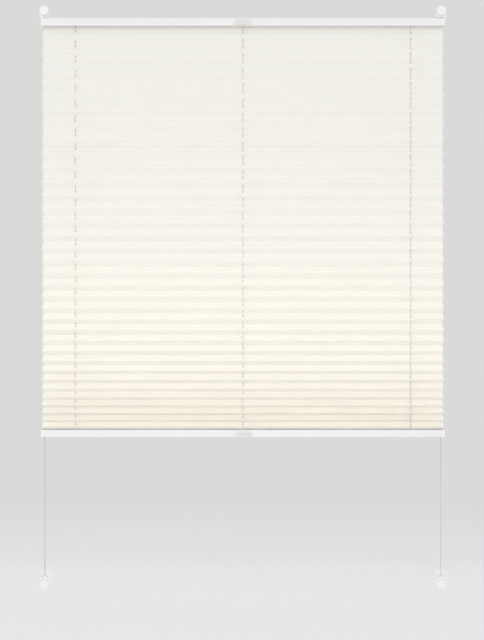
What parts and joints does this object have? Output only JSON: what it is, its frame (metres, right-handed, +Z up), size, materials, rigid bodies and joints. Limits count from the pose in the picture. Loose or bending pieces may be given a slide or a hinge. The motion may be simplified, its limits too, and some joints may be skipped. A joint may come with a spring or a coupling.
{
  "type": "pleated blind",
  "caption": "Pleated window blind of folded cream cloth between white rails that slide on taut cords, held to the edges of a sash by screw clamps.",
  "frame": {"origin": "middle of the sash's top edge, on the plane of its front face, where the clamps seat", "axes": "+X along the rails to the right as seen from the room, +Y through the window away from the room, +Z up"},
  "size_m": [0.8064, 0.0535, 1.156],
  "materials": {
    "rail_aluminium": "satin",
    "cream_cloth": "matte",
    "white_cord": "matte",
    "clear_white_plastic": "gloss",
    "inner_plastic": "matte",
    "white_plastic": "satin"
  },
  "bodies": {
    "clamps": {"top_left_clamp_body": "white_plastic", "top_left_tension_shoe": "white_plastic", "top_right_clamp_body": "white_plastic", "top_right_tension_shoe": "white_plastic", "bottom_left_clamp_body": "white_plastic", "bottom_left_tension_shoe": "white_plastic", "bottom_right_clamp_body": "white_plastic", "bottom_right_tension_shoe": "white_plastic", "left_cord": "white_cord", "right_cord": "white_cord", "middle_cord": "white_cord"},
    "top_rail": {"top_rail": "rail_aluminium", "top_strip": "inner_plastic", "top_left_end_cap": "white_plastic", "top_right_end_cap": "white_plastic", "top_left_guide": "inner_plastic", "top_middle_guide": "inner_plastic", "top_right_guide": "inner_plastic", "top_handle": "clear_white_plastic", "pleated_cloth": "cream_cloth"},
    "bottom_rail": {"bottom_rail": "rail_aluminium", "bottom_strip": "inner_plastic", "bottom_left_end_cap": "white_plastic", "bottom_right_end_cap": "white_plastic", "bottom_left_guide": "inner_plastic", "bottom_middle_guide": "inner_plastic", "bottom_right_guide": "inner_plastic", "bottom_handle": "clear_white_plastic"},
    "top_left_screw": {"top_left_thumb_screw": "white_plastic"},
    "top_left_hook": {"top_left_clamp_hook": "white_plastic"},
    "top_right_screw": {"top_right_thumb_screw": "white_plastic"},
    "top_right_hook": {"top_right_clamp_hook": "white_plastic"},
    "bottom_left_screw": {"bottom_left_thumb_screw": "white_plastic"},
    "bottom_left_hook": {"bottom_left_clamp_hook": "white_plastic"},
    "bottom_right_screw": {"bottom_right_thumb_screw": "white_plastic"},
    "bottom_right_hook": {"bottom_right_clamp_hook": "white_plastic"}
  },
  "joints": [
    {"name": "top_rail_slide", "type": "slide", "parent": "clamps", "child": "top_rail", "axis": [0, 0, 1], "range_m": [-0.22, 0], "deforming": ["pleated_cloth", "left_cord", "right_cord", "middle_cord"]},
    {"name": "bottom_rail_slide", "type": "slide", "parent": "clamps", "child": "bottom_rail", "axis": [0, 0, 1], "range_m": [-0.278, 0.53], "deforming": ["pleated_cloth", "left_cord", "right_cord", "middle_cord"]},
    {"name": "top_left_screw_turn", "type": "hinge", "parent": "clamps", "child": "top_left_screw", "pos_m": [-0.3932, -0.02, 0.0055], "axis": [0, -1, 0], "range_deg": [-360, 1440]},
    {"name": "top_left_hook_slide", "type": "slide", "parent": "clamps", "child": "top_left_hook", "axis": [0, 1, 0], "range_m": [-0.002, 0.008]},
    {"name": "top_right_screw_turn", "type": "hinge", "parent": "clamps", "child": "top_right_screw", "pos_m": [0.3932, -0.02, 0.0055], "axis": [0, -1, 0], "range_deg": [-360, 1440]},
    {"name": "top_right_hook_slide", "type": "slide", "parent": "clamps", "child": "top_right_hook", "axis": [0, 1, 0], "range_m": [-0.002, 0.008]},
    {"name": "bottom_left_screw_turn", "type": "hinge", "parent": "clamps", "child": "bottom_left_screw", "pos_m": [-0.3932, -0.02, -1.1305], "axis": [0, -1, 0], "range_deg": [-360, 1440]},
    {"name": "bottom_left_hook_slide", "type": "slide", "parent": "clamps", "child": "bottom_left_hook", "axis": [0, 1, 0], "range_m": [-0.002, 0.008]},
    {"name": "bottom_right_screw_turn", "type": "hinge", "parent": "clamps", "child": "bottom_right_screw", "pos_m": [0.3932, -0.02, -1.1305], "axis": [0, -1, 0], "range_deg": [-360, 1440]},
    {"name": "bottom_right_hook_slide", "type": "slide", "parent": "clamps", "child": "bottom_right_hook", "axis": [0, 1, 0], "range_m": [-0.002, 0.008]}
  ],
  "couplings": [
    {"joint": "top_left_hook_slide", "follows": "top_left_screw_turn", "m_per_rad": 0.00031831},
    {"joint": "top_right_hook_slide", "follows": "top_right_screw_turn", "m_per_rad": 0.00031831},
    {"joint": "bottom_left_hook_slide", "follows": "bottom_left_screw_turn", "m_per_rad": 0.00031831},
    {"joint": "bottom_right_hook_slide", "follows": "bottom_right_screw_turn", "m_per_rad": 0.00031831}
  ]
}
